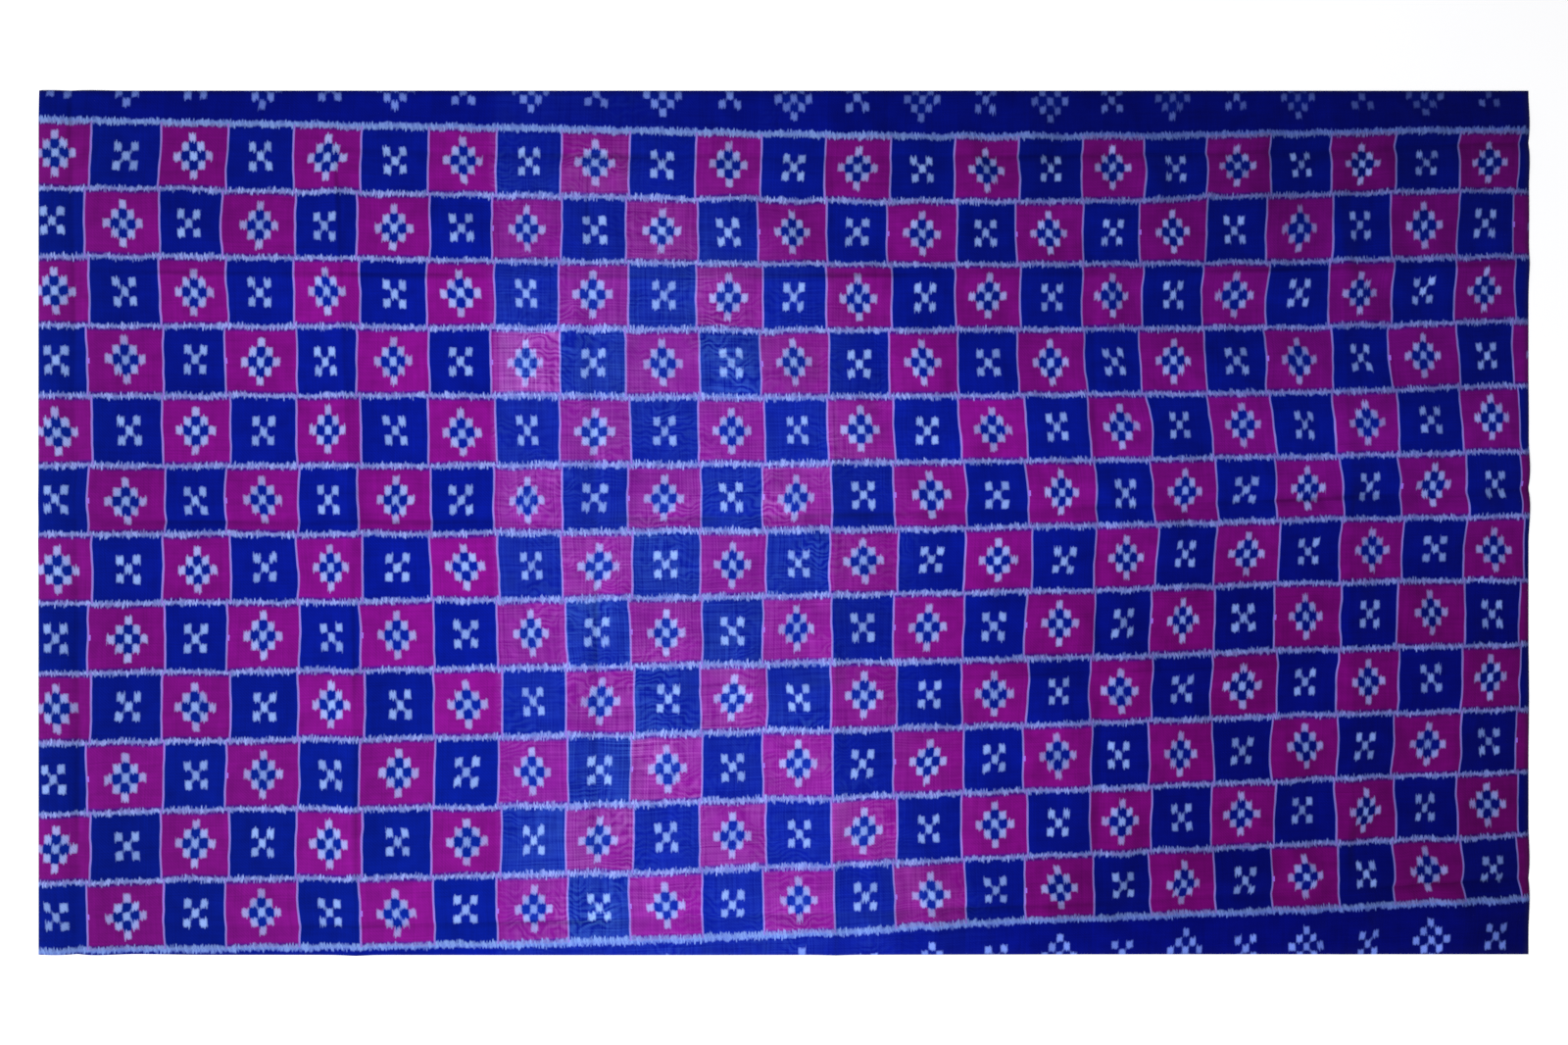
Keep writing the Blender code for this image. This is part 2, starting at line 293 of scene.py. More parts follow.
def dye_depth_and_shade(x, y):
    """Red, green and blue factors of the dyed ground, and one factor for undyed cotton.

    The depth is a product of smooth falls, partly the dye's own depth and partly painted shade that darkens the cloth
    towards the right end: weaker to the left end, deeper from the middle to the right end and at the far and near
    sides, changed by every patch. Towards the near right corner the dyes are redder, towards the near left one and
    the left end a little greener, and towards the right end bluer. Undyed cotton takes the depth to the power 0.4.
    """
    depth = 0.68 + 0.32 * smooth_step((x + 0.50) / 0.32)
    depth = depth * (1 - 0.46 * smooth_step((x + 0.06) / 0.38))
    depth = depth * (1 - 0.16 * smooth_step((x - 0.30) / 0.22))
    depth = depth * (1 - 0.20 * smooth_step((y - 0.12) / 0.20))
    depth = depth * (1 - 0.05 * smooth_step((-0.12 - y) / 0.20))
    depth = depth * (1 + sum(patch.change * mound(patch, x, y) for patch in PATCHES))
    redder = smooth_step((x - 0.02) / 0.28) * smooth_step((0.06 - y) / 0.14)
    greener = smooth_step((-0.02 - y) / 0.16) * smooth_step((-0.08 - x) / 0.20)
    greener = np.maximum(greener, smooth_step((-0.42 - x) / 0.07))
    bluer = smooth_step((x - 0.05) / 0.35)
    return np.stack([depth * (1 + 0.04 * redder), depth * (1 - 0.38 * redder + 0.38 * greener),
                     depth * (1 - 0.14 * redder) * (1 + 0.13 * bluer), depth ** 0.4], axis=1)


def painted_sheen_panel(x, y):
    """How strong the painted sheen and glow are, 0 to 1: a panel with a sharp left edge between two storage folds,
    smooth to the right, further right at the near side and above the middle, little at the far side, a bit less at
    the near."""
    slanted = x + 0.22 * y - 0.04 * np.exp(-((y - 0.06) / 0.07) ** 2)
    left = smooth_step((x + 0.212) / 0.007)
    right = 1 - smooth_step((slanted + 0.11) / 0.20)
    far = 1 - 0.85 * smooth_step((y - 0.12) / 0.16)
    near = 1 - 0.16 * smooth_step((0.02 - y) / 0.06)
    return left * right * far * near


def weave_place(x, y):
    """Where a point of the lying cloth is on the flat weave, in metres from the field's near left corner:
    its place less the sag SAG (s^2 - 1/2), s the place along over half the length, and less every pull."""
    drift_x = sum(pull.dx * mound(pull, x, y) for pull in PULLS)
    drift_y = sum(pull.dy * mound(pull, x, y) for pull in PULLS) + SAG * ((x / HALF_LENGTH) ** 2 - 0.5)
    return x - FIELD_LEFT - drift_x, y - FIELD_NEAR - drift_y


def grid_mesh(name, x, y, z, uv_name, u, v, columns, rows):
    """A grid of (rows + 1) x (columns + 1) points, row by row, with four-sided faces that face up, and a UV map."""
    corner = (np.arange(rows)[:, None] * (columns + 1) + np.arange(columns)[None, :]).ravel()
    faces = np.stack([corner, corner + 1, corner + columns + 2, corner + columns + 1], axis=1)
    mesh = bpy.data.meshes.new(name)
    mesh.vertices.add(len(x))
    mesh.vertices.foreach_set("co", np.stack([x, y, z], axis=1).astype(np.float32).ravel())
    mesh.loops.add(faces.size)
    mesh.loops.foreach_set("vertex_index", faces.astype(np.int32).ravel())
    mesh.polygons.add(len(faces))
    mesh.polygons.foreach_set("loop_start", np.arange(0, faces.size, 4, dtype=np.int32))
    mesh.update(calc_edges=True)
    layer = mesh.uv_layers.new(name=uv_name)
    layer.uv.foreach_set("vector", np.stack([u, v], axis=1)[faces.ravel()].astype(np.float32).ravel())
    mesh.shade_smooth()
    mesh.validate()
    return mesh


column_stations = stations(UPRIGHTS, HALF_WIDTH, COLUMNS)
row_stations = stations(LEVELS, HALF_LENGTH, ROWS)
station_x = np.tile(column_stations, ROWS + 1)
station_y = np.repeat(row_stations, COLUMNS + 1)
cloth_x = station_x
cloth_y = station_y
for _ in range(4):
    cloth_x = follow(UPRIGHTS, station_x, cloth_y, HALF_WIDTH)
    cloth_y = follow(LEVELS, station_y, cloth_x, HALF_LENGTH)
crease = creases(cloth_x, cloth_y)
from_edge = np.minimum(np.minimum(cloth_x - place(UPRIGHTS[0], cloth_y, HALF_WIDTH),
                                  place(UPRIGHTS[-1], cloth_y, HALF_WIDTH) - cloth_x),
                       np.minimum(cloth_y - place(LEVELS[0], cloth_x, HALF_LENGTH),
                                  place(LEVELS[-1], cloth_x, HALF_LENGTH) - cloth_y))
unevenness = crumple(cloth_x, cloth_y) + CREASE_DEPTH * (1 - crease)
cloth_z = FLOOR_GAP + height(cloth_x, cloth_y) + unevenness * smooth_step(from_edge / 0.02)
weave_u, weave_v = weave_place(cloth_x, cloth_y)
cloth_mesh = grid_mesh("double_ikat_cloth", cloth_x, cloth_y, cloth_z, "weave", weave_u, weave_v, COLUMNS, ROWS)
# The crease attribute is painted shade: dark along the pressed creases, and a little dark along the slanting wrinkles
crease_layer = cloth_mesh.attributes.new("crease", "FLOAT", "POINT")
painted_shade = crease + SLANT_SHADE_SHARE * slants(cloth_x, cloth_y)
crease_layer.data.foreach_set("value", painted_shade.astype(np.float32))
# The dye's depth with its painted shade, as a point colour
tone_layer = cloth_mesh.attributes.new("dye_depth_and_shade", "FLOAT_COLOR", "POINT")
tone_layer.data.foreach_set("color", dye_depth_and_shade(cloth_x, cloth_y).astype(np.float32).ravel())
# The painted sheen panel, as a point attribute
sheen_layer = cloth_mesh.attributes.new("painted_sheen", "FLOAT", "POINT")
sheen_layer.data.foreach_set("value", painted_sheen_panel(cloth_x, cloth_y).astype(np.float32))
cloth = bpy.data.objects.new("double_ikat_cloth", cloth_mesh)
bpy.context.scene.collection.objects.link(cloth)
thickness = cloth.modifiers.new("thickness", "SOLIDIFY")
thickness.thickness = SHEET_THICKNESS
thickness.offset = 1.0


def linear(code):
    """An sRGB hex colour as linear RGB with alpha 1: ((c + 0.055) / 1.055)^2.4, or c / 12.92 when dark."""
    channels = [int(code[i:i + 2], 16) / 255 for i in (1, 3, 5)]
    return tuple(c / 12.92 if c <= 0.04045 else ((c + 0.055) / 1.055) ** 2.4 for c in channels) + (1.0,)


def add(tree, kind, inputs=None, out=0, **settings):
    """Adds a node with its settings. inputs maps a socket's place or name to a value, or to an output to link."""
    made = tree.nodes.new(kind)
    for name, value in settings.items():
        setattr(made, name, value)
    for socket, value in (inputs or {}).items():
        if isinstance(value, bpy.types.NodeSocket):
            tree.links.new(value, made.inputs[socket])
        else:
            made.inputs[socket].default_value = value
    return made.outputs[out]


MATH = "ShaderNodeMath"
MIX = "ShaderNodeMix"
RANGE = "ShaderNodeMapRange"
RANDOM = "ShaderNodeTexWhiteNoise"
NOISE = "ShaderNodeTexNoise"
JOIN = "ShaderNodeCombineXYZ"
SPLIT = "ShaderNodeSeparateXYZ"
VECTOR = "ShaderNodeVectorMath"

# Dyes: indigo blue, the darker blue of the borders, the blue inside a diamond, and magenta.
# Undyed cotton has taken a little of the dye around it: bluish in blue squares, bluer in the borders, pinkish in
# magenta squares.
BLUE = "#041486"
BORDER_BLUE = "#031085"
DIAMOND_BLUE = "#041a8c"
MAGENTA = "#7a0d7e"
UNDYED_IN_BLUE = "#8ba8e7"
UNDYED_IN_BORDER = "#84a2fc"
UNDYED_IN_MAGENTA = "#999ddb"

# The chart, in squares: cells of a motif to a square's width and height, and the places of the border's motifs
CELLS_ACROSS = 8.45
CELLS_ALONG = 7.16
FIELD_ROWS = 12
FAR_MOTIF_MIDDLE = 12.57
NEAR_MOTIF_MIDDLE = -0.58


def chart_group():
    """The dyer's chart, read at a place given in squares across and along, with the column that it lies in.

    Squares alternate blue and magenta. In cell units from a square's middle, rounded to m and n, a magenta square
    has a diamond |m| + |n| <= 2, undyed where m + n is even and blue where it is odd, and a blue one has the cross
    |m| = |n| <= 1. Each border repeats the motifs on plain blue. Each motif has slipped and leans by its own
    amount, and each cell has its own strength.
    """
    tree = bpy.data.node_groups.new("ikat_chart", "ShaderNodeTree")
    for name in ("Across", "Along", "Column"):
        tree.interface.new_socket(name, in_out="INPUT", socket_type="NodeSocketFloat")
    tree.interface.new_socket("Ground", in_out="OUTPUT", socket_type="NodeSocketColor")
    tree.interface.new_socket("Undyed", in_out="OUTPUT", socket_type="NodeSocketFloat")
    tree.interface.new_socket("Undyed Color", in_out="OUTPUT", socket_type="NodeSocketColor")
    given = tree.nodes.new("NodeGroupInput").outputs
    across, along, column = given[0], given[1], given[2]

    row = add(tree, MATH, {0: along}, operation="FLOOR")
    past_far = add(tree, MATH, {0: along, 1: float(FIELD_ROWS)}, operation="GREATER_THAN")
    before_near = add(tree, MATH, {0: along, 1: 0.0}, operation="LESS_THAN")
    border = add(tree, MATH, {0: past_far, 1: before_near}, operation="ADD")
    field = add(tree, MATH, {0: 1.0, 1: border}, operation="SUBTRACT")

    # Parity of column plus row. A border counts as row 0, so its even columns have the diamond
    field_row = add(tree, MATH, {0: row, 1: field}, operation="MULTIPLY")
    steps = add(tree, MATH, {0: column, 1: field_row}, operation="ADD")
    odd = add(tree, MATH, {0: add(tree, MATH, {0: steps, 1: 2.0}, operation="FLOORED_MODULO"), 1: 0.5},
              operation="GREATER_THAN")
    diamond = add(tree, MATH, {0: 1.0, 1: odd}, operation="SUBTRACT")
    magenta = add(tree, MATH, {0: diamond, 1: field}, operation="MULTIPLY")

    # Distance from the motif's middle, in cells, with its slip and lean
    middle = add(tree, MATH, {0: row, 1: 0.5}, operation="ADD")
    middle = add(tree, MIX, {0: before_near, 2: middle, 3: NEAR_MOTIF_MIDDLE})
    middle = add(tree, MIX, {0: past_far, 2: middle, 3: FAR_MOTIF_MIDDLE})
    motif_key = add(tree, JOIN, {0: column, 1: middle, 2: 1.0})
    slip = add(tree, SPLIT, {0: add(tree, RANDOM, {0: motif_key}, out=1, noise_dimensions="3D")})
    slip_parts = slip.node.outputs
    slip_across = add(tree, RANGE, {0: slip_parts[0], 3: -0.018, 4: 0.018})
    slip_along = add(tree, RANGE, {0: slip_parts[1], 3: -0.020, 4: 0.020})
    lean = add(tree, RANGE, {0: slip_parts[2], 3: -0.07, 4: 0.07})
    off_across = add(tree, MATH, {0: across, 1: column}, operation="SUBTRACT")
    off_across = add(tree, MATH, {0: off_across, 1: 0.5}, operation="SUBTRACT")
    off_across = add(tree, MATH, {0: off_across, 1: slip_across}, operation="SUBTRACT")
    off_along = add(tree, MATH, {0: along, 1: middle}, operation="SUBTRACT")
    off_along = add(tree, MATH, {0: off_along, 1: slip_along}, operation="SUBTRACT")
    off_across = add(tree, MATH, {0: off_along, 1: lean, 2: off_across}, operation="MULTIPLY_ADD")
    a = add(tree, MATH, {0: off_across, 1: CELLS_ACROSS}, operation="MULTIPLY")
    b = add(tree, MATH, {0: off_along, 1: CELLS_ALONG}, operation="MULTIPLY")
    m = add(tree, MATH, {0: a}, operation="ROUND")
    n = add(tree, MATH, {0: b}, operation="ROUND")
    m_size = add(tree, MATH, {0: m}, operation="ABSOLUTE")
    n_size = add(tree, MATH, {0: n}, operation="ABSOLUTE")
    ring = add(tree, MATH, {0: m_size, 1: n_size}, operation="ADD")
    odd_cell = add(tree, MATH, {0: ring, 1: 2.0}, operation="MODULO")
    even_cell = add(tree, MATH, {0: 1.0, 1: odd_cell}, operation="SUBTRACT")
    inner = add(tree, MATH, {0: ring, 1: 2.5}, operation="LESS_THAN")

    in_diamond = add(tree, MATH, {0: inner, 1: diamond}, operation="MULTIPLY")
    on_diagonal = add(tree, MATH, {0: m_size, 1: n_size, 2: 0.1}, operation="COMPARE")
    in_cross = add(tree, MATH, {0: on_diagonal, 1: inner}, operation="MULTIPLY")
    in_cross = add(tree, MATH, {0: in_cross, 1: odd}, operation="MULTIPLY")
    undyed_in_diamond = add(tree, MATH, {0: in_diamond, 1: even_cell}, operation="MULTIPLY")
    blue_in_diamond = add(tree, MATH, {0: in_diamond, 1: odd_cell}, operation="MULTIPLY")
    undyed = add(tree, MATH, {0: undyed_in_diamond, 1: in_cross}, operation="ADD")

    # A cell's edges are soft where dye crept under the tie, more so across the warp
    edge_a = add(tree, MATH, {0: add(tree, MATH, {0: a, 1: m}, operation="SUBTRACT")}, operation="ABSOLUTE")
    edge_b = add(tree, MATH, {0: add(tree, MATH, {0: b, 1: n}, operation="SUBTRACT")}, operation="ABSOLUTE")
    soft_a = add(tree, RANGE, {0: edge_a, 1: 0.23, 2: 0.62, 3: 1.0, 4: 0.0}, interpolation_type="SMOOTHSTEP")
    soft_b = add(tree, RANGE, {0: edge_b, 1: 0.22, 2: 0.69, 3: 1.0, 4: 0.0}, interpolation_type="SMOOTHSTEP")
    undyed = add(tree, MATH, {0: undyed, 1: soft_a}, operation="MULTIPLY")
    undyed = add(tree, MATH, {0: undyed, 1: soft_b}, operation="MULTIPLY")

    # Undyed bridges from the middle cell to its four diagonal neighbours, some strong and some missing
    a_size = add(tree, MATH, {0: a}, operation="ABSOLUTE")
    b_size = add(tree, MATH, {0: b}, operation="ABSOLUTE")
    apart = add(tree, MATH, {0: add(tree, MATH, {0: a_size, 1: b_size}, operation="SUBTRACT")}, operation="ABSOLUTE")
    bridge = add(tree, RANGE, {0: apart, 1: 0.0, 2: 0.40, 3: 0.68, 4: 0.0}, interpolation_type="SMOOTHSTEP")
    side_a = add(tree, MATH, {0: a}, operation="SIGN")
    side_b = add(tree, MATH, {0: b}, operation="SIGN")
    bridge_key = add(tree, JOIN, {0: add(tree, MATH, {0: column, 1: 5.0, 2: side_a}, operation="MULTIPLY_ADD"),
                                  1: add(tree, MATH, {0: middle, 1: 10.0, 2: side_b}, operation="MULTIPLY_ADD"),
                                  2: 12.0})
    bridge_strength = add(tree, RANGE, {0: add(tree, RANDOM, {0: bridge_key}, noise_dimensions="3D"), 1: 0.25})
    bridge = add(tree, MATH, {0: bridge, 1: bridge_strength}, operation="MULTIPLY")
    bridge_end = add(tree, RANGE, {0: a_size, 1: 0.7, 2: 0.95, 3: 1.0, 4: 0.0}, interpolation_type="SMOOTHSTEP")
    bridge = add(tree, MATH, {0: bridge, 1: bridge_end}, operation="MULTIPLY")
    undyed = add(tree, MATH, {0: undyed, 1: bridge}, operation="MAXIMUM")

    # Strength of each cell and of each whole motif: the middle cell is weaker, and so is the far border
    cell_key = add(tree, JOIN, {0: add(tree, MATH, {0: column, 1: 5.0, 2: m}, operation="MULTIPLY_ADD"),
                                1: add(tree, MATH, {0: middle, 1: 10.0, 2: n}, operation="MULTIPLY_ADD"), 2: 2.0})
    strength = add(tree, RANGE, {0: add(tree, RANDOM, {0: cell_key}, noise_dimensions="3D"), 3: 0.70, 4: 1.0})
    motif_key = add(tree, JOIN, {0: column, 1: middle, 2: 3.0})
    motif_strength = add(tree, RANGE, {0: add(tree, RANDOM, {0: motif_key}, noise_dimensions="3D"), 3: 0.80, 4: 1.0})
    strength = add(tree, MATH, {0: strength, 1: motif_strength}, operation="MULTIPLY")
    centre = add(tree, MATH, {0: ring, 1: 0.5}, operation="LESS_THAN")
    strength = add(tree, MATH, {0: strength, 1: add(tree, MIX, {0: centre, 2: 1.0, 3: 0.98})}, operation="MULTIPLY")
    strength = add(tree, MATH, {0: strength, 1: add(tree, MIX, {0: past_far, 2: 1.0, 3: 0.64})}, operation="MULTIPLY")
    undyed = add(tree, MATH, {0: undyed, 1: strength}, operation="MULTIPLY")

    ground = add(tree, MIX, {0: magenta, 6: linear(BLUE), 7: linear(MAGENTA)}, out=2, data_type="RGBA")
    ground = add(tree, MIX, {0: border, 6: ground, 7: linear(BORDER_BLUE)}, out=2, data_type="RGBA")
    # Blue fills the diamond's inside up to the middles of its diagonal cells
    reach = add(tree, MATH, {0: a_size, 1: b_size}, operation="ADD")
    inside = add(tree, RANGE, {0: reach, 1: 1.75, 2: 2.15, 3: 1.0, 4: 0.0}, interpolation_type="SMOOTHSTEP")
    inside = add(tree, MATH, {0: inside, 1: diamond}, operation="MULTIPLY")
    blue_part = add(tree, MATH, {0: inside, 1: blue_in_diamond}, operation="MAXIMUM")
    ground = add(tree, MIX, {0: blue_part, 6: ground, 7: linear(DIAMOND_BLUE)}, out=2, data_type="RGBA")
    far_out = add(tree, MATH, {0: a_size, 1: b_size}, operation="MAXIMUM")
    pink = add(tree, RANGE, {0: far_out, 1: 0.3, 2: 1.8, 3: 0.0, 4: 1.0})
    pink = add(tree, MATH, {0: magenta, 1: pink}, operation="MULTIPLY")
    undyed_color = add(tree, MIX, {0: border, 6: linear(UNDYED_IN_BLUE), 7: linear(UNDYED_IN_BORDER)},
                       out=2, data_type="RGBA")
    undyed_color = add(tree, MIX, {0: pink, 6: undyed_color, 7: linear(UNDYED_IN_MAGENTA)},
                       out=2, data_type="RGBA")
    result = tree.nodes.new("NodeGroupOutput")
    tree.links.new(ground, result.inputs[0])
    tree.links.new(undyed, result.inputs[1])
    tree.links.new(undyed_color, result.inputs[2])
    return tree


# The threads as drawn: real ones lie 0.4 mm apart, too fine to show, so bundles of about three are drawn
BUNDLE = 0.00095
BUNDLES_ACROSS = SQUARE_WIDTH / BUNDLE
BUNDLES_ALONG = SQUARE_HEIGHT / BUNDLE
WARP_SHARE = 0.68

# Half widths of the undyed lines, in squares: between rows, at the borders, and the cords between columns
LINE_HALF = 0.0445
BORDER_LINE_HALF = 0.049
CORD_HALF = 0.0140
LINE_COLOR = "#797dce"
BRIGHT_LINE_COLOR = "#98aaf2"
BORDER_LINE_COLOR = "#7c9ada"
CORD_COLOR = "#9168d0"


def ikat_cotton():
    """Plain-woven cotton, double ikat: matt, hardly any gloss, pattern edges feathered along the warp."""
    material = bpy.data.materials.new("double_ikat_cotton")
    material.use_nodes = True
    tree = material.node_tree
    shader = tree.nodes["Principled BSDF"]
    chart = chart_group()

    # Place on the flat weave, in metres and in squares, and on the lying cloth
    place_parts = add(tree, SPLIT, {0: add(tree, "ShaderNodeTexCoord", out=3)}).node.outputs
    x, y = place_parts[0], place_parts[1]
    weave_at = add(tree, "ShaderNodeUVMap", uv_map="weave")
    weave_parts = add(tree, SPLIT, {0: weave_at}).node.outputs
    plain_u = add(tree, MATH, {0: weave_parts[0], 1: SQUARE_WIDTH}, operation="DIVIDE")
    v = add(tree, MATH, {0: weave_parts[1], 1: SQUARE_HEIGHT}, operation="DIVIDE")

    # Slow waver of the threads, up to 0.7 mm
    waver_at = add(tree, JOIN, {0: plain_u, 1: v, 2: 3.0})
    waver = add(tree, SPLIT, {0: add(tree, NOISE, {"Vector": waver_at, "Scale": 1.6, "Detail": 2.0}, out=1)})
    waver_parts = waver.node.outputs
    shift_u = add(tree, RANGE, {0: waver_parts[0], 1: 0.2, 2: 0.8, 3: -0.022, 4: 0.022})
    shift_v = add(tree, RANGE, {0: waver_parts[1], 1: 0.2, 2: 0.8, 3: -0.022, 4: 0.022})
    plain_u = add(tree, MATH, {0: plain_u, 1: shift_u}, operation="ADD")
    v = add(tree, MATH, {0: v, 1: shift_v}, operation="ADD")

    # In every second row the magenta squares are wider: the cords shift by 0.0125 + 0.0425 cos(pi u)
    row = add(tree, MATH, {0: v}, operation="FLOOR")
    even_row = add(tree, MATH, {0: add(tree, MATH, {0: row, 1: 2.0}, operation="FLOORED_MODULO"), 1: 0.5},
                   operation="LESS_THAN")
    plain_u = add(tree, MATH, {0: even_row, 1: 0.0125, 2: plain_u}, operation="MULTIPLY_ADD")
    swing = add(tree, MATH, {0: add(tree, MATH, {0: plain_u, 1: 3.14159265}, operation="MULTIPLY")},
                operation="COSINE")
    swing = add(tree, MATH, {0: swing, 1: 0.0425}, operation="MULTIPLY")
    u = add(tree, MATH, {0: swing, 1: even_row, 2: plain_u}, operation="MULTIPLY_ADD")
    column = add(tree, MATH, {0: u}, operation="FLOOR")

    # Warp: each bundle has slid along by its own amount, so edges across it are feathered
    bundle = add(tree, MATH, {0: plain_u, 1: BUNDLES_ACROSS}, operation="MULTIPLY")
    bundle = add(tree, MATH, {0: bundle}, operation="FLOOR")
    slide_at = add(tree, JOIN, {0: add(tree, MATH, {0: bundle, 1: 7.31}, operation="MULTIPLY"),
                                1: add(tree, MATH, {0: v, 1: 1.5}, operation="MULTIPLY"), 2: 0.0})
    slide = add(tree, NOISE, {"Vector": slide_at, "Scale": 1.0, "Detail": 1.0})
    slide = add(tree, RANGE, {0: slide, 1: 0.3, 2: 0.7, 3: -0.032, 4: 0.032})
    warp = add(tree, "ShaderNodeGroup", node_tree=chart).node
    tree.links.new(plain_u, warp.inputs[0])
    tree.links.new(add(tree, MATH, {0: v, 1: slide}, operation="ADD"), warp.inputs[1])
    tree.links.new(column, warp.inputs[2])

    # Weft: each bundle has slid across by its own amount, less than the warp
    pick = add(tree, MATH, {0: add(tree, MATH, {0: v, 1: BUNDLES_ALONG}, operation="MULTIPLY")},
               operation="FLOOR")
    slide_at = add(tree, JOIN, {0: add(tree, MATH, {0: plain_u, 1: 1.5}, operation="MULTIPLY"),
                                1: add(tree, MATH, {0: pick, 1: 7.31}, operation="MULTIPLY"), 2: 9.0})
    slide = add(tree, NOISE, {"Vector": slide_at, "Scale": 1.0, "Detail": 1.0})
    slide = add(tree, RANGE, {0: slide, 1: 0.2, 2: 0.8, 3: -0.016, 4: 0.016})
    weft = add(tree, "ShaderNodeGroup", node_tree=chart).node
    tree.links.new(add(tree, MATH, {0: plain_u, 1: slide}, operation="ADD"), weft.inputs[0])
    tree.links.new(v, weft.inputs[1])
    tree.links.new(column, weft.inputs[2])
    ground = add(tree, MIX, {0: WARP_SHARE, 6: weft.outputs[0], 7: warp.outputs[0]}, out=2, data_type="RGBA")
    undyed = add(tree, MIX, {0: WARP_SHARE, 2: weft.outputs[1], 3: warp.outputs[1]})
    undyed_color = add(tree, MIX, {0: WARP_SHARE, 6: weft.outputs[2], 7: warp.outputs[2]}, out=2, data_type="RGBA")

    # Towards the right end dye has crept further under the ties, most of all in the far corner
    to_right = add(tree, RANGE, {0: x, 1: 0.02, 2: 0.20})
    to_corner = add(tree, RANGE, {0: y, 1: 0.08, 2: 0.22, 3: 0.0, 4: to_right})
    crept_under = add(tree, RANGE, {0: x, 1: 0.0, 2: 0.34, 3: 1.0, 4: 1.32})
    crept_under = add(tree, MATH, {0: to_corner, 1: 0.45, 2: crept_under}, operation="MULTIPLY_ADD")
    undyed = add(tree, MATH, {0: undyed, 1: crept_under}, operation="POWER")
    weaker = add(tree, RANGE, {0: x, 1: 0.05, 2: 0.25, 3: 1.0, 4: 0.90})
    undyed = add(tree, MATH, {0: undyed, 1: weaker}, operation="MULTIPLY")

    # The undyed lines between rows: ticks on the warp, each bundle with its own length, place and strength
    nearest = add(tree, "ShaderNodeClamp", {0: add(tree, MATH, {0: v}, operation="ROUND"), 1: 0.0,
                                            2: float(FIELD_ROWS)})
    tick_key = add(tree, JOIN, {0: bundle, 1: nearest, 2: 5.0})
    tick = add(tree, SPLIT, {0: add(tree, RANDOM, {0: tick_key}, out=1, noise_dimensions="3D")}).node.outputs
    at_near = add(tree, MATH, {0: nearest, 1: 0.5}, operation="LESS_THAN")
    at_far = add(tree, MATH, {0: nearest, 1: FIELD_ROWS - 0.5}, operation="GREATER_THAN")
    at_border = add(tree, MATH, {0: at_near, 1: at_far}, operation="ADD")
    half = add(tree, MIX, {0: at_border, 2: LINE_HALF, 3: BORDER_LINE_HALF})
    shortest = add(tree, MIX, {0: at_border, 2: 0.40, 3: 0.70})
    tick_size = add(tree, RANGE, {0: tick[0], 3: shortest, 4: 1.28})
    half = add(tree, MATH, {0: half, 1: tick_size}, operation="MULTIPLY")
    # The painted sheen panel; the lines between rows are drawn wider in it
    panel = add(tree, "ShaderNodeAttribute", out=2, attribute_name="painted_sheen")
    half = add(tree, MATH, {0: half, 1: add(tree, RANGE, {0: panel, 3: 1.0, 4: 1.24})}, operation="MULTIPLY")
    off_line = add(tree, MATH, {0: v, 1: nearest}, operation="SUBTRACT")
    off_tick = add(tree, MATH, {0: off_line, 1: add(tree, RANGE, {0: tick[1], 3: -0.017, 4: 0.017})},
                   operation="SUBTRACT")
    off_tick = add(tree, MATH, {0: off_tick}, operation="ABSOLUTE")
    on_line = add(tree, RANGE, {0: add(tree, MATH, {0: half, 1: off_tick}, operation="SUBTRACT"),
                                1: -0.018, 2: 0.022, 3: 0.0, 4: 1.0}, interpolation_type="SMOOTHSTEP")
    tick_strength = add(tree, RANGE, {0: tick[2], 3: 0.28, 4: 0.85})
    on_line = add(tree, MATH, {0: on_line, 1: tick_strength}, operation="MULTIPLY")

    # The middle of a line stays undyed in every bundle
    core_size = add(tree, MIX, {0: at_border, 2: 0.030, 3: 0.046})
    core = add(tree, RANGE, {0: add(tree, MATH, {0: off_line}, operation="ABSOLUTE"), 1: 0.008, 2: core_size,
                             3: 0.55, 4: 0.0}, interpolation_type="SMOOTHSTEP")
    on_line = add(tree, MATH, {0: on_line, 1: core}, operation="MAXIMUM")
    fainter = add(tree, RANGE, {0: x, 1: 0.0, 2: 0.24, 3: 1.0, 4: 0.735})
    fainter = add(tree, MATH, {0: fainter, 1: add(tree, RANGE, {0: to_corner, 3: 1.0, 4: 0.76})},
                  operation="MULTIPLY")
    on_line = add(tree, MATH, {0: on_line, 1: fainter}, operation="MULTIPLY")

    # Blue has crept along the warp to both sides of each line
    crept = add(tree, MATH, {0: off_line}, operation="ABSOLUTE")
    crept = add(tree, RANGE, {0: crept, 1: 0.035, 2: 0.092, 3: 0.75, 4: 0.0}, interpolation_type="SMOOTHSTEP")
    ground = add(tree, MIX, {0: crept, 6: ground, 7: linear(BLUE)}, out=2, data_type="RGBA")
    line_color = add(tree, MIX, {0: tick[2], 6: linear(LINE_COLOR), 7: linear(BRIGHT_LINE_COLOR)},
                     out=2, data_type="RGBA")
    line_color = add(tree, MIX, {0: at_border, 6: line_color, 7: linear(BORDER_LINE_COLOR)},
                     out=2, data_type="RGBA")
    undyed_color = add(tree, MIX, {0: on_line, 6: undyed_color, 7: line_color}, out=2, data_type="RGBA")
    undyed = add(tree, MATH, {0: undyed, 1: on_line}, operation="MAXIMUM")

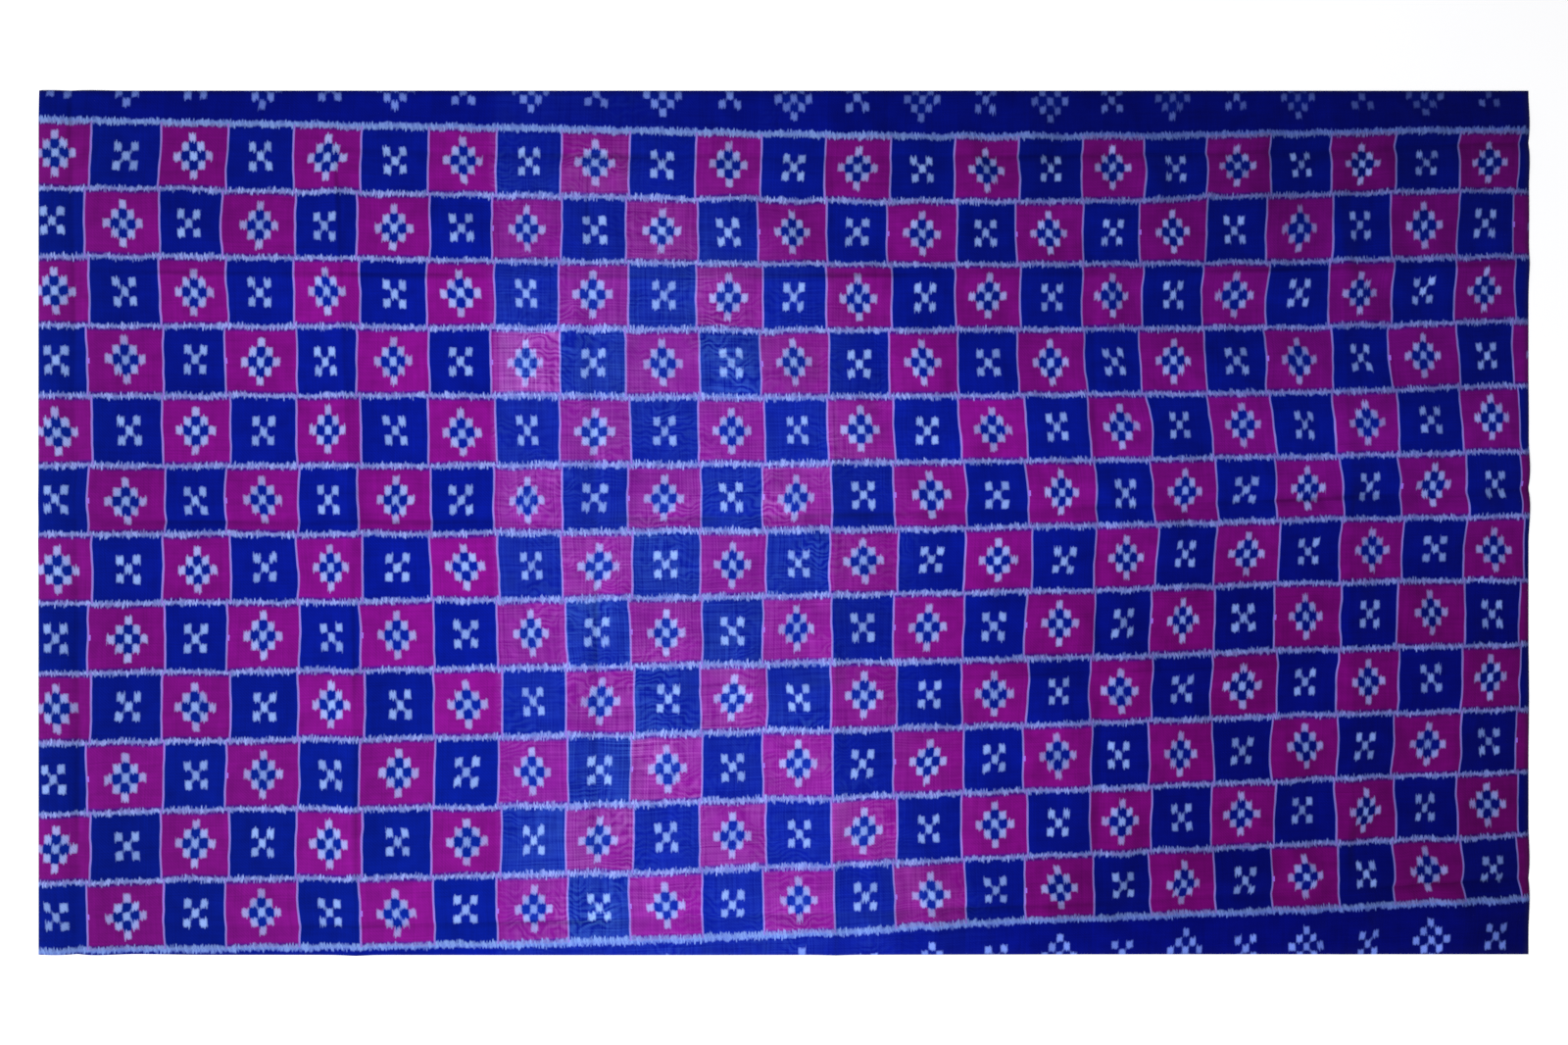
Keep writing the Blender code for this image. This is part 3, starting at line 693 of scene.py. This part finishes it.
    # A few undyed warp threads part the columns, stronger at some than at others
    nearest_cord = add(tree, MATH, {0: u}, operation="ROUND")
    beside = add(tree, MATH, {0: u, 1: nearest_cord}, operation="SUBTRACT")
    cord_at = add(tree, JOIN, {0: add(tree, MATH, {0: nearest_cord, 1: 3.7}, operation="MULTIPLY"),
                               1: add(tree, MATH, {0: v, 1: 2.2}, operation="MULTIPLY"), 2: 4.0})
    cord_strength = add(tree, RANGE, {0: add(tree, NOISE, {"Vector": cord_at, "Scale": 1.0, "Detail": 3.0}),
                                      1: 0.3, 2: 0.7, 3: 0.55, 4: 1.0})
    cord = add(tree, RANGE, {0: add(tree, MATH, {0: beside}, operation="ABSOLUTE"),
                             1: CORD_HALF - 0.006, 2: CORD_HALF + 0.006, 3: 1.0, 4: 0.0})
    cord = add(tree, MATH, {0: cord, 1: cord_strength}, operation="MULTIPLY")
    cord = add(tree, MATH, {0: cord, 1: fainter}, operation="MULTIPLY")

    # Small undyed nubs beside every second cord of every second row, at mid-height
    nub_row = add(tree, MATH, {0: add(tree, MATH, {0: v}, operation="FRACT"), 1: 0.5, 2: 0.04}, operation="COMPARE")
    nub_side = add(tree, MATH, {0: beside, 1: 0.018, 2: 0.019}, operation="COMPARE")
    cord_parity = add(tree, MATH, {0: nearest_cord, 1: 2.0}, operation="FLOORED_MODULO")
    nub_cord = add(tree, MATH, {0: cord_parity, 1: 0.5}, operation="LESS_THAN")
    nub_key = add(tree, JOIN, {0: nearest_cord, 1: row, 2: 6.0})
    nub_there = add(tree, MATH, {0: add(tree, RANDOM, {0: nub_key}, noise_dimensions="3D"), 1: 0.4},
                    operation="GREATER_THAN")
    nub = add(tree, MATH, {0: nub_row, 1: nub_side}, operation="MULTIPLY")
    nub = add(tree, MATH, {0: nub, 1: nub_cord}, operation="MULTIPLY")
    nub = add(tree, MATH, {0: nub, 1: even_row}, operation="MULTIPLY")
    nub = add(tree, MATH, {0: nub, 1: nub_there}, operation="MULTIPLY")
    cord = add(tree, MATH, {0: cord, 1: nub}, operation="MAXIMUM")
    in_field = add(tree, MATH, {0: v, 1: 6.0, 2: 6.0}, operation="COMPARE")
    cord = add(tree, MATH, {0: cord, 1: in_field}, operation="MULTIPLY")
    undyed_color = add(tree, MIX, {0: cord, 6: undyed_color, 7: linear(CORD_COLOR)}, out=2, data_type="RGBA")
    undyed = add(tree, MATH, {0: undyed, 1: cord}, operation="MAXIMUM")

    # Threads took the dye unevenly: streaks along weft and warp, and each square its own shade
    streak_at = add(tree, JOIN, {0: add(tree, MATH, {0: plain_u, 1: 0.8}, operation="MULTIPLY"),
                                 1: add(tree, MATH, {0: pick, 1: 0.9}, operation="MULTIPLY"), 2: 7.0})
    weft_streak = add(tree, RANGE, {0: add(tree, NOISE, {"Vector": streak_at, "Scale": 1.0, "Detail": 2.0}),
                                    1: 0.25, 2: 0.75, 3: 0.90, 4: 1.10})
    streak_at = add(tree, JOIN, {0: add(tree, MATH, {0: bundle, 1: 0.9}, operation="MULTIPLY"),
                                 1: add(tree, MATH, {0: v, 1: 0.8}, operation="MULTIPLY"), 2: 8.0})
    warp_streak = add(tree, RANGE, {0: add(tree, NOISE, {"Vector": streak_at, "Scale": 1.0, "Detail": 2.0}),
                                    1: 0.25, 2: 0.75, 3: 0.90, 4: 1.10})
    square_key = add(tree, JOIN, {0: column, 1: row, 2: 10.0})
    square_shade = add(tree, RANGE, {0: add(tree, RANDOM, {0: square_key}, noise_dimensions="3D"), 3: 0.92, 4: 1.06})
    blotch = add(tree, RANGE, {0: add(tree, NOISE, {"Vector": weave_at, "Scale": 85.0, "Detail": 3.0}),
                               1: 0.3, 2: 0.7, 3: 0.88, 4: 1.12})
    # Painted shade: darker along the pressed creases and the slanting wrinkles
    pressed = add(tree, "ShaderNodeAttribute", out=2, attribute_name="crease")
    pressed = add(tree, MATH, {0: pressed, 1: -0.42, 2: 1.0}, operation="MULTIPLY_ADD")
    # Painted light and shade of small crumples: soft darker and lighter patches of 20 to 50 mm, most on the loose
    # right part
    on_cloth = add(tree, JOIN, {0: x, 1: y})
    crumple_light_and_shade = add(tree, NOISE, {"Vector": on_cloth, "Scale": 27.0, "Detail": 3.0, "Distortion": 0.8})
    crumple_light_and_shade = add(tree, RANGE, {0: crumple_light_and_shade, 1: 0.3, 2: 0.7, 3: -0.13, 4: 0.13})
    loose = add(tree, RANGE, {0: x, 1: -0.22, 2: 0.13, 3: 0.25, 4: 1.0})
    pressed = add(tree, MATH, {0: crumple_light_and_shade, 1: loose, 2: pressed}, operation="MULTIPLY_ADD")
    # The ground takes the painted shade times the dye's streaks, square shades and blotches; undyed cotton takes the
    # painted shade alone
    dyed = pressed
    for shade in (weft_streak, warp_streak, square_shade, blotch):
        dyed = add(tree, MATH, {0: dyed, 1: shade}, operation="MULTIPLY")
    ground = add(tree, VECTOR, {0: ground, "Scale": dyed}, operation="SCALE")
    undyed_color = add(tree, VECTOR, {0: undyed_color, "Scale": pressed}, operation="SCALE")

    # The dye's depth over the cloth, partly painted shade that darkens it towards the right end
    tone = add(tree, "ShaderNodeAttribute", attribute_name="dye_depth_and_shade")
    ground = add(tree, VECTOR, {0: ground, 1: tone}, operation="MULTIPLY")
    undyed_color = add(tree, VECTOR, {0: undyed_color, "Scale": tone.node.outputs[3]}, operation="SCALE")
    paler = add(tree, RANGE, {0: x, 1: 0.0, 2: 0.36, 3: 1.0, 4: 1.055})
    bluer = add(tree, RANGE, {0: x, 1: 0.0, 2: 0.36, 3: 1.0, 4: 1.20})
    tint = add(tree, JOIN, {0: paler, 1: paler, 2: bluer})
    undyed_color = add(tree, VECTOR, {0: undyed_color, 1: tint}, operation="MULTIPLY")
    color = add(tree, MIX, {0: undyed, 6: ground, 7: undyed_color}, out=2, data_type="RGBA")

    # Painted sheen and glow on a panel between two storage folds, in faint wavy bands, which make it paler
    # Painted blue sheen over the panel
    blue_sheen = add(tree, MATH, {0: panel, 1: 0.05}, operation="MULTIPLY")
    color = add(tree, MIX, {0: blue_sheen, 6: color, 7: linear("#304fff")}, out=2, data_type="RGBA")
    red = add(tree, SPLIT, {0: ground})
    on_magenta = add(tree, RANGE, {0: red, 1: 0.02, 2: 0.15})
    # The painted sheen comes in patches, stronger in some squares and on magenta
    patchy = add(tree, RANGE, {0: add(tree, NOISE, {"Vector": on_cloth, "Scale": 22.0, "Detail": 2.0}),
                               1: 0.32, 2: 0.68, 3: 0.35, 4: 1.60})
    square_sheen = add(tree, SPLIT, {0: add(tree, RANDOM, {0: square_key}, out=1, noise_dimensions="3D")})
    square_sheen = add(tree, MATH, {0: square_sheen.node.outputs[1], 1: 3.0}, operation="POWER")
    square_sheen = add(tree, MATH, {0: square_sheen, 1: 1.45, 2: 0.52}, operation="MULTIPLY_ADD")
    magenta_sheen = add(tree, RANGE, {0: on_magenta, 3: 1.0, 4: 1.75})
    for share in (patchy, square_sheen, magenta_sheen):
        panel = add(tree, MATH, {0: panel, 1: share}, operation="MULTIPLY")
    # The painted sheen lies in faint wavy bands, broken by the thread streaks
    bend = add(tree, NOISE, {"Vector": on_cloth, "Scale": 42.0, "Detail": 2.0})
    wave = add(tree, MATH, {0: y, 1: 1250.0}, operation="MULTIPLY")
    wave = add(tree, MATH, {0: bend, 1: 58.0, 2: wave}, operation="MULTIPLY_ADD")
    band_share = add(tree, RANGE, {0: add(tree, NOISE, {"Vector": on_cloth, "Scale": 26.0, "Detail": 1.0}),
                                   1: 0.44, 2: 0.66, 3: 0.02, 4: 0.52})
    wave = add(tree, MATH, {0: add(tree, MATH, {0: wave}, operation="SINE"), 1: band_share}, operation="MULTIPLY")
    threads = add(tree, MATH, {0: add(tree, MATH, {0: weft_streak, 1: warp_streak}, operation="ADD"), 1: 2.0},
                  operation="SUBTRACT")
    wave = add(tree, MATH, {0: threads, 1: 4.0, 2: wave}, operation="MULTIPLY_ADD")
    wave = add(tree, MATH, {0: wave, 1: 0.48}, operation="ADD")
    wave = add(tree, MATH, {0: wave, 1: 0.0}, operation="MAXIMUM")
    veil = add(tree, MATH, {0: panel, 1: wave}, operation="MULTIPLY")
    # Painted glow: the panel's colour is brightened where the sheen lies
    glow = add(tree, MATH, {0: veil, 1: 0.20, 2: 1.0}, operation="MULTIPLY_ADD")
    color = add(tree, VECTOR, {0: color, "Scale": glow}, operation="SCALE")
    # Painted sheen: a pale veil over the panel, bluish on blue squares and greyer on magenta
    veil = add(tree, MATH, {0: veil, 1: 0.080}, operation="MULTIPLY")
    veil_color = add(tree, MIX, {0: on_magenta, 6: linear("#64a1b7"), 7: linear("#aba2b5")}, out=2, data_type="RGBA")
    color = add(tree, MIX, {0: veil, 6: color, 7: veil_color}, out=2, data_type="RGBA")

    tree.links.new(color, shader.inputs["Base Color"])
    shader.inputs["Roughness"].default_value = 0.9
    shader.inputs["Specular IOR Level"].default_value = 0.02
    shader.inputs["Sheen Weight"].default_value = 0.008
    shader.inputs["Sheen Roughness"].default_value = 0.5

    # Weave relief of the drawn bundles: warp and weft pass over each other by turns
    over = add(tree, MATH, {0: add(tree, MATH, {0: plain_u, 1: 3.14159265 * BUNDLES_ACROSS}, operation="MULTIPLY")},
               operation="SINE")
    under = add(tree, MATH, {0: add(tree, MATH, {0: v, 1: 3.14159265 * BUNDLES_ALONG}, operation="MULTIPLY")},
                operation="SINE")
    relief = add(tree, MATH, {0: over, 1: under}, operation="MULTIPLY")
    bump = add(tree, "ShaderNodeBump", {"Strength": 0.35, "Distance": 0.0002, "Height": relief})
    tree.links.new(bump, shader.inputs["Normal"])
    return material


cloth.data.materials.append(ikat_cotton())
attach(cloth, "root")
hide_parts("cloth")

# The floor: a plain pale surface under the cloth, painted board with a faint mottle.
FLOOR_HALF = 6.0
floor_mesh = grid_mesh("floor", *[np.array(c, float) * FLOOR_HALF for c in ((-1, 1, -1, 1), (-1, -1, 1, 1), (0, 0, 0, 0))],
                       "plan", np.array([0.0, 1.0, 0.0, 1.0]), np.array([0.0, 0.0, 1.0, 1.0]), 1, 1)
floor = bpy.data.objects.new("floor", floor_mesh)
bpy.context.scene.collection.objects.link(floor)
board = bpy.data.materials.new("pale_painted_board")
board.use_nodes = True
mottle = add(board.node_tree, NOISE, {"Vector": add(board.node_tree, "ShaderNodeTexCoord", out=3), "Scale": 9.0})
tone = add(board.node_tree, MIX, {0: mottle, 6: linear("#f6f6f8"), 7: linear("#f9f9fa")}, out=2, data_type="RGBA")
board_shader = board.node_tree.nodes["Principled BSDF"]
board.node_tree.links.new(tone, board_shader.inputs["Base Color"])
board_shader.inputs["Roughness"].default_value = 0.9
board_shader.inputs["Specular IOR Level"].default_value = 0.1
floor.data.materials.append(board)

# Light: a soft box at the left and near side, which brings out the folds, in an even pale room.
room = bpy.data.worlds.new("pale_room")
room.use_nodes = True
room.node_tree.nodes["Background"].inputs["Color"].default_value = (1.0, 1.0, 1.0, 1.0)
room.node_tree.nodes["Background"].inputs["Strength"].default_value = 0.52
bpy.context.scene.world = room
soft_box = bpy.data.lights.new("soft_box", "AREA")
soft_box.shape = "RECTANGLE"
soft_box.size = 1.3
soft_box.size_y = 1.3
soft_box.energy = 135.0
soft_box_object = bpy.data.objects.new("soft_box", soft_box)
soft_box_object.location = (-1.98, -1.45, 2.72)
towards_cloth = Vector((0.0, 0.0, 0.0)) - soft_box_object.location
soft_box_object.rotation_euler = towards_cloth.to_track_quat("-Z", "Y").to_euler()
bpy.context.scene.collection.objects.link(soft_box_object)

# Camera: 0.78 m above the cloth, a little left of its middle, tilted 3.4 degrees towards its right side.
camera = bpy.data.cameras.new("camera")
camera.sensor_width = 36.0
camera.lens = 27.0
camera_object = bpy.data.objects.new("camera", camera)
camera_object.location = (-0.0673, 0.0005, 0.7807)
camera_object.rotation_euler = (radians(0.404), radians(-3.440), radians(-0.715))
bpy.context.scene.collection.objects.link(camera_object)
bpy.context.scene.camera = camera_object
bpy.context.scene.view_settings.view_transform = "Standard"
